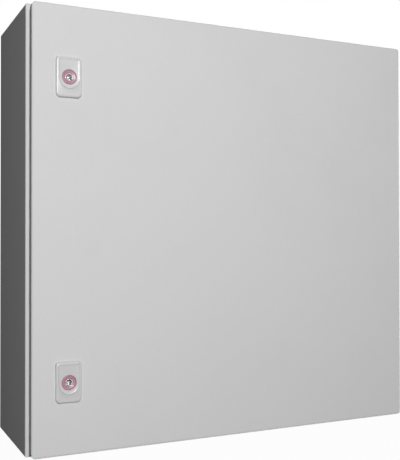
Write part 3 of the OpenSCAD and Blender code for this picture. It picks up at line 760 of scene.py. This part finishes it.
class ENCLOSURE_OT_lock_covers(bpy.types.Operator):
    """Moulded covers: rim, slope, raised shield, pocket for the ring, and the threaded neck."""

    bl_idname = "enclosure.lock_covers"
    bl_label = "Lock covers"

    def execute(self, context):
        for side in SIDES:
            cover_moulding(side, context.scene.enclosure_lock)
        return {"FINISHED"}


def key_ring(side, lock):
    """Ring with a raised rim and a shallow dish that falls towards the core."""
    node = side + "_lock_ring"
    across, depth = measured(node_box(node), "-y")
    inner, outer = lock.ring_bore / MM / 2, across / 2
    rim, edge, dish = outer - 1.3, outer - 0.7, 0.9
    corners = [(inner, depth / 2), (inner, depth - dish), (rim - 0.3, depth - dish / 2), (rim, depth),
               (edge, depth), (outer, depth - dish), (outer, 0), (inner, 0), (inner, depth / 2)]
    ring = turned(corners, (0, 0.2, 0.15, 0.15, 0.3, 0.3, 0.1, 0.1, 0), 96, 3)
    replace_node(node, side + "_key_ring", [ring], "door", "pink_moulding", "-y")


def turning_core(side, lock):
    """Turning core: a cup with a chamfered mouth, a pin with two bits standing in it, and a
    square end. The pin's outline is the further of a circle and a bar at each angle, and its
    face is a dome: the height falls by the square of the share of the outline."""
    node = side + "_lock_spindle"
    box = node_box(node)
    across, length = measured(box, "-y")
    outer, socket, depth = across / 2, lock.core_socket / MM / 2, lock.key_depth / MM
    shoulder = box[1][1] - node_box(side + "_lock_cam")[0][1]
    floor, mouth, mouth_depth = length - depth, socket + 0.9, 1.1
    corners = [(0, shoulder), (outer, shoulder), (outer, length), (mouth, length),
               (socket, length - mouth_depth), (socket, floor), (0, floor)]
    cup = turned(corners, (0, 0.3, 0.2, 0.1, 0.4, 0.1, 0), 96, 4)
    columns, reach = 144, socket - 0.7
    angle = np.linspace(0, 2 * np.pi, columns, endpoint=False)
    bar = np.minimum(reach / np.maximum(np.abs(np.cos(angle)), 1e-6),
                     lock.bit_width / MM / 2 / np.maximum(np.abs(np.sin(angle)), 1e-6))
    outline = np.maximum(lock.key_pin / MM / 2, bar)
    dome, crown, root = 1.5, length - 3.6, floor - 0.2
    rows = [(outline * t, crown - dome * t * t) for t in np.linspace(0, 0.92, 9)]
    rows += [(outline, crown - dome - 0.1), (outline, root), (0, root)]
    pin = surface_of(rows, columns)
    columns, soft, end = 72, 0.4, shoulder + 0.5
    flats = polygon(4, CORE_SQUARE, columns)
    square = surface_of([(0, 0.0), (flats - soft, 0.0), (flats, soft), (flats, end), (0, end)], columns)
    replace_node(node, side + "_turning_core", (cup, pin, square), side + "_lock", "lock_core",
                 "-y", crease=HARD_CREASE)


def clamping_nut(side, lock):
    """Thin hexagon that clamps the cover to the door."""
    node = side + "_lock_nut"
    low, high = node_box(node)
    nut = hex_body(high[2] - low[2], high[1] - low[1], lock.neck / MM / 2, columns=144)
    replace_node(node, side + "_clamping_nut", [nut], "door", "zinc_plated", "-y", crease=HARD_CREASE)


def cam_group(side):
    """Cam with the washer and the screw that hold it on the core's square."""
    body, washer_node, screw_node = side + "_lock", side + "_cam_washer", side + "_cam_screw"
    softened(side + "_lock_cam", side + "_cam_tongue", body, "zinc_plated", 0.35)
    replace_washer(washer_node, side + "_cam_lock_washer", CAM_SCREW_BORE, body, "+y")
    seat = node_box(washer_node)[1][1]
    replace_node(screw_node, side + "_cam_head_screw",
                 head_screw(node_box(screw_node), seat, CAM_SCREW, 96), body, "zinc_plated", "+y", seat,
                 HARD_CREASE)


class ENCLOSURE_OT_lock_works(bpy.types.Operator):
    """Rings, turning cores with their double bit, clamping nuts, cams, washers and screws."""

    bl_idname = "enclosure.lock_works"
    bl_label = "Lock works"

    def execute(self, context):
        lock = context.scene.enclosure_lock
        for side in SIDES:
            key_ring(side, lock)
            turning_core(side, lock)
            clamping_nut(side, lock)
            cam_group(side)
        return {"FINISHED"}


def seal_bead(half_w, half_h, corner, width, height, seal):
    """Path: distance s round a rectangle with round corners gives the centre and the outward
    direction. Section: a superellipse |u|^2.6 + v^2.6 = 1 over the bead's width, with a
    groove where the lip presses, both swelling and shrinking slowly with s."""
    straight_w, straight_h = 2 * (half_w - corner), 2 * (half_h - corner)
    spacing, bend_steps, groove, power = 3.0, 14, 1.3, 2 / 2.6
    knots, turn, start = [], 0.0, np.array([half_w, corner - half_h])
    for length in (straight_h, straight_w, straight_h, straight_w):
        run = np.linspace(0, length, int(length / spacing), endpoint=False)
        normal = np.array([math.cos(turn), math.sin(turn)])
        along = np.array([-math.sin(turn), math.cos(turn)])
        line = start + run[:, None] * along
        knots.append(np.column_stack([line, np.repeat(normal[None], len(run), 0)]))
        pivot = start + length * along - corner * normal
        sweep = turn + np.linspace(0, math.pi / 2, bend_steps, endpoint=False)
        direction = np.column_stack([np.cos(sweep), np.sin(sweep)])
        knots.append(np.column_stack([pivot + corner * direction, direction]))
        turn += math.pi / 2
        start = pivot + corner * np.array([math.cos(turn), math.sin(turn)])
    path = np.concatenate(knots)
    step = np.hypot(*np.diff(path[:, :2], axis=0, append=path[:1, :2]).T)
    s = np.cumsum(step) - step[0]
    phase = 2 * np.pi * s / step.sum()
    swell = seal.wobble / MM * (np.sin(23 * phase) * 0.5 + np.sin(57 * phase + 1.3) * 0.3
                                + np.sin(131 * phase + 0.7) * 0.2)
    shrink = np.abs(swell)
    half = (width / 2 - shrink * 0.6)[:, None]
    crown = (height - shrink * 0.8)[:, None]
    theta = np.linspace(0, np.pi, 29)[None, :]
    u = np.sign(np.cos(theta)) * np.abs(np.cos(theta)) ** power * half
    v = np.abs(np.sin(theta)) ** power * crown
    v = np.maximum(v - seal.imprint / MM * np.exp(-(u / groove) ** 2), 0.0)
    points = np.stack([path[:, :1] + u * path[:, 2:3], v, path[:, 1:2] + u * path[:, 3:4]], axis=-1)
    faces = grid_faces(len(path) + 1, points.shape[1]) % v.size
    return points.reshape(-1, 3), faces


class ENCLOSURE_OT_foam_seal(bpy.types.Operator):
    """Foamed bead round the door: a domed section carried along a rounded rectangle."""

    bl_idname = "enclosure.foam_seal"
    bl_label = "Foam seal"

    def execute(self, context):
        seal = context.scene.enclosure_seal
        low, high = node_box("door_seal")
        width, corner = seal.width / MM, seal.corner / MM
        half_w, half_h = (high[0] - low[0] - width) / 2, (high[2] - low[2] - width) / 2
        points, faces = seal_bead(half_w, half_h, corner, width, high[1] - low[1], seal)
        make_piece("foamed_door_seal", [(points + (0.0, low[1], 0.0), faces)], "door", "foam_seal",
                   ("door_seal",), crease=60.0)
        softened("gland_seal", "foamed_gland_seal", "cabinet", "foam_seal", 0.6)
        return {"FINISHED"}


class ENCLOSURE_OT_bolts(bpy.types.Operator):
    """Threaded bolts and studs: mounting plate, cable plate and earthing."""

    bl_idname = "enclosure.bolts"
    bl_label = "Bolts and studs"

    def execute(self, context):
        fast = context.scene.enclosure_fasteners
        m8, m6 = fast.pitch_m8 / MM, fast.pitch_m6 / MM
        for node, name, body, pitch, direction in (
                ("plate_bolts", "plate_studs", "cabinet", m8, "-y"),
                ("gland_bolts", "gland_studs", "cabinet", m6, "+z"),
                ("body_earth_bolt", "body_earth_stud", "cabinet", m8, "+x"),
                ("door_earth_bolt", "door_earth_stud", "door", m8, "+y")):
            def stud(box):
                """Thread as wide and as long as the box."""
                diameter, length = measured(box, direction)
                return thread(diameter, pitch, 0, length, fast.segments)

            replace_solids(node, name, stud, body, "copper_plated", direction, crease=50.0)
        return {"FINISHED"}


def flange_nut(box):
    """Nut whose flange is as wide as the box."""
    across, height = measured(box, "-y")
    return hex_body(M8_FLATS, height, M8_BORE, flange=across / 2)


def small_nut(box):
    """Plain nut whose flats face front and back."""
    _, flats, height = box[1] - box[0]
    return hex_body(flats, height, M6_BORE, columns=72)


class ENCLOSURE_OT_nuts(bpy.types.Operator):
    """Nuts and washers with cut corners and softened edges."""

    bl_idname = "enclosure.nuts"
    bl_label = "Nuts and washers"

    def execute(self, context):
        for node, name, nut, direction in (("plate_nuts", "plate_flange_nuts", flange_nut, "-y"),
                                           ("gland_nuts", "gland_hex_nuts", small_nut, "+z")):
            replace_solids(node, name, nut, "cabinet", "zinc_plated", direction, HARD_CREASE)
        for home, body, direction in (("body", "cabinet", "+x"), ("door", "door", "+y")):
            node = home + "_earth_nut"
            nut = hex_body(M8_FLATS, measured(node_box(node), direction)[1], M8_BORE)
            replace_node(node, home + "_earth_hex_nut", [nut], body, "zinc_plated", direction,
                         crease=HARD_CREASE)
            replace_washer(home + "_earth_washer", home + "_earth_flat_washer", M8_WASHER_BORE, body,
                           direction)
        return {"FINISHED"}


def turned_pin(side):
    """Turned pin with a domed head and a pointed lower end."""
    node = side + "_hinge_pin"
    across, length = measured(node_box(node), "+z")
    head, head_height = across / 2, 2
    shank, neck = head - 1.25, length - head_height
    corners = [(0, 0), (shank - 0.8, 0), (shank, 1.6), (shank, neck), (head, neck), (head, length),
               (0, length)]
    pin = turned(corners, (0, 0.3, 0.6, 0.1, 0.3, 0.9, 0), 48, 4)
    replace_node(node, side + "_hinge_turned_pin", [pin], "cabinet", "zinc_plated", "+z")


def hinge_screws():
    """Hexagon heads on threaded shanks, driven in from behind."""
    surfaces = []
    for box in solid_boxes("hinge_screws"):
        seat = box[1][1] - HINGE_SCREW_HEAD
        surfaces += [seated(part, box, "+y", seat) for part in head_screw(box, seat, HINGE_SCREW, 72)]
    make_piece("hinge_head_screws", surfaces, "cabinet", "zinc_plated", ("hinge_screws",), HARD_CREASE)


def hinge_plug(box):
    """Plastic plug with a low domed head."""
    across, depth = measured(box, "-y")
    head, head_foot = across / 2, depth - 1.2
    stem = head - 1.8
    corners = [(0, 0), (stem, 0), (stem, head_foot), (head, head_foot), (head, depth), (0, depth)]
    return turned(corners, (0, 0.4, 0.1, 0.1, 0.8, 0), 48, 4)


class ENCLOSURE_OT_hinges(bpy.types.Operator):
    """Hinge blocks, leaves, pins, their screws and the plugs of the spare holes."""

    bl_idname = "enclosure.hinges"
    bl_label = "Hinges"

    def execute(self, context):
        for side in SIDES:
            softened(side + "_hinge_block", side + "_hinge_casting", "cabinet", "hinge_casting", 0.45)
            softened(side + "_hinge_leaf", side + "_hinge_door_leaf", "door", "zinc_plated", 0.35)
            turned_pin(side)
        hinge_screws()
        replace_solids("hinge_hole_plugs", "hinge_hole_caps", hinge_plug, "cabinet", "plug_moulding",
                       "-y")
        return {"FINISHED"}


class ENCLOSURE_OT_plates(bpy.types.Operator):
    """Mounting plate, its spacers and the cable plate, with broken edges."""

    bl_idname = "enclosure.plates"
    bl_label = "Mounting and cable plates"

    def execute(self, context):
        for node, name, slot in (("mounting_plate", "zinc_mounting_plate", "zinc_sheet"),
                                 ("plate_spacers", "mounting_plate_sleeves", "zinc_plated"),
                                 ("gland_plate", "coated_cable_plate", "grey_powder_coat")):
            softened(node, name, "cabinet", slot, 0.4)
        return {"FINISHED"}


def add_camera(scene, stage):
    """Camera that looks along Y, turned to the right, raised and rolled."""
    data = bpy.data.cameras.new("camera")
    data.sensor_width = 36.0
    data.lens, data.shift_x, data.clip_start = stage.camera_lens, stage.camera_shift, 0.01
    camera = linked("camera", data)
    turn = Matrix.Rotation(-stage.camera_turn, 4, "Z")
    rise = Matrix.Rotation(math.pi / 2 + stage.camera_rise, 4, "X")
    roll = Matrix.Rotation(stage.camera_roll, 4, "Z")
    camera.matrix_world = Matrix.Translation(stage.camera_place) @ turn @ rise @ roll
    scene.camera = camera


def add_lamp(name, place, size, power):
    """Round lamp that is aimed at the middle of the enclosure."""
    data = bpy.data.lights.new(name, "AREA")
    data.shape, data.size, data.energy = "DISK", size, power
    lamp = linked(name, data)
    aim = Vector((0.0, -0.1, 0.0)) - Vector(place)
    lamp.matrix_world = Matrix.Translation(place) @ aim.to_track_quat("-Z", "Y").to_matrix().to_4x4()


def white_rays(tree):
    """1 for camera, glossy and transmission rays, else 0."""
    rays = add_node(tree, "LightPath").outputs
    seen = math_node(tree, "MAXIMUM", rays["Is Camera Ray"], rays["Is Glossy Ray"])
    return math_node(tree, "MAXIMUM", seen, rays["Is Transmission Ray"])


def add_room(scene, level):
    """Even weak light for the object, and white behind it."""
    world = bpy.data.worlds.new("room")
    world.use_nodes = True
    scene.world = world
    tree = world.node_tree
    tree.nodes.clear()
    even, white = (
        add_node(tree, "Background", {"Color": (1.0, 1.0, 1.0, 1.0), "Strength": strength}).outputs[0]
        for strength in (level, 1.0))
    add_node(tree, "OutputWorld", {"Surface": mixed_shader(tree, white_rays(tree), even, white)})


def add_floor():
    """Matt floor just below the object. It is dark for the light it sends up, and for the
    camera almost white, whitest far away. Light from below passes through it."""
    half = 12.0
    low = CAD_BOX[0].z - 0.0005
    corners = [(-half, -half, low), (half, -half, low), (half, half, low), (-half, half, low)]
    mesh = bpy.data.meshes.new("floor")
    mesh.from_pydata(corners, [], [(0, 1, 2, 3)])
    floor = linked("floor", mesh)
    material = bpy.data.materials.new("floor")
    material.use_nodes = True
    mesh.materials.append(material)
    tree = material.node_tree
    seen = white_rays(tree)
    matt = tree.nodes["Principled BSDF"]
    feed(tree, matt.inputs["Roughness"], 1.0)
    feed(tree, matt.inputs["Base Color"], mixed_colour(tree, seen, (0.02,) * 3, (0.80,) * 3))
    place = add_node(tree, "TexCoord").outputs["Object"]
    away = add_node(tree, "VectorMath", {0: place}, operation="LENGTH").outputs["Value"]
    fade = add_node(tree, "MapRange", {"From Min": 0.8, "From Max": 3.0, "To Min": 0.95,
                                       "To Max": 1.0, "Value": away}).outputs["Result"]
    glow = add_node(tree, "Emission", {"Strength": 1.0}).outputs[0]
    surface = mixed_shader(tree, math_node(tree, "MULTIPLY", seen, fade), matt.outputs[0], glow)
    below = add_node(tree, "NewGeometry").outputs["Backfacing"]
    shadow = add_node(tree, "LightPath").outputs["Is Shadow Ray"]
    clear = add_node(tree, "BsdfTransparent").outputs[0]
    ends = mixed_shader(tree, math_node(tree, "MAXIMUM", below, shadow), surface, clear)
    feed(tree, tree.nodes["Material Output"].inputs["Surface"], ends)


class ENCLOSURE_OT_stage(bpy.types.Operator):
    """Sets up the camera, the lamps, the room and the floor."""

    bl_idname = "enclosure.stage"
    bl_label = "Camera, lamps and floor"

    def execute(self, context):
        scene = context.scene
        stage = scene.enclosure_stage
        add_camera(scene, stage)
        for name, place, size, power in (
                ("key", stage.key_place, 0.3, stage.key_power),
                ("fill", (1.7, 1.9, 1.6), 1.2, stage.fill_power),
                ("side", (2.4, -1.4, 1.2), 1.0, stage.side_power),
                ("under", (0.2, 0.15, -1.7), 0.8, stage.under_power)):
            add_lamp(name, place, size, power)
        add_room(scene, stage.world_level)
        add_floor()
        scene.view_settings.view_transform = "Standard"
        return {"FINISHED"}


class ENCLOSURE_PT_panel(bpy.types.Panel):
    """Lists the operators of the enclosure."""

    bl_idname = "ENCLOSURE_PT_panel"
    bl_label = "Wall enclosure"
    bl_space_type = "VIEW_3D"
    bl_region_type = "UI"
    bl_category = "Enclosure"

    def draw(self, context):
        for operator in OPERATORS:
            self.layout.operator(operator.bl_idname)


OPERATORS = (
    ENCLOSURE_OT_stage, ENCLOSURE_OT_finishes, ENCLOSURE_OT_lock_covers, ENCLOSURE_OT_lock_works,
    ENCLOSURE_OT_foam_seal, ENCLOSURE_OT_bolts, ENCLOSURE_OT_nuts, ENCLOSURE_OT_hinges,
    ENCLOSURE_OT_plates,
)
SETTINGS = {
    "enclosure_coating": CoatingSettings,
    "enclosure_lock": LockSettings,
    "enclosure_seal": SealSettings,
    "enclosure_fasteners": FastenerSettings,
    "enclosure_stage": StageSettings,
}


def register():
    for name, group in SETTINGS.items():
        bpy.utils.register_class(group)
        setattr(bpy.types.Scene, name, PointerProperty(type=group))
    for operator in OPERATORS:
        bpy.utils.register_class(operator)
    bpy.utils.register_class(ENCLOSURE_PT_panel)


def unregister():
    bpy.utils.unregister_class(ENCLOSURE_PT_panel)
    for operator in reversed(OPERATORS):
        bpy.utils.unregister_class(operator)
    for name, group in SETTINGS.items():
        delattr(bpy.types.Scene, name)
        bpy.utils.unregister_class(group)


def main():
    """Registers the add-on and runs its operators in order."""
    register()
    for operator in OPERATORS:
        getattr(bpy.ops.enclosure, operator.bl_idname.split(".")[1])()


if __name__ == "__main__":
    main()
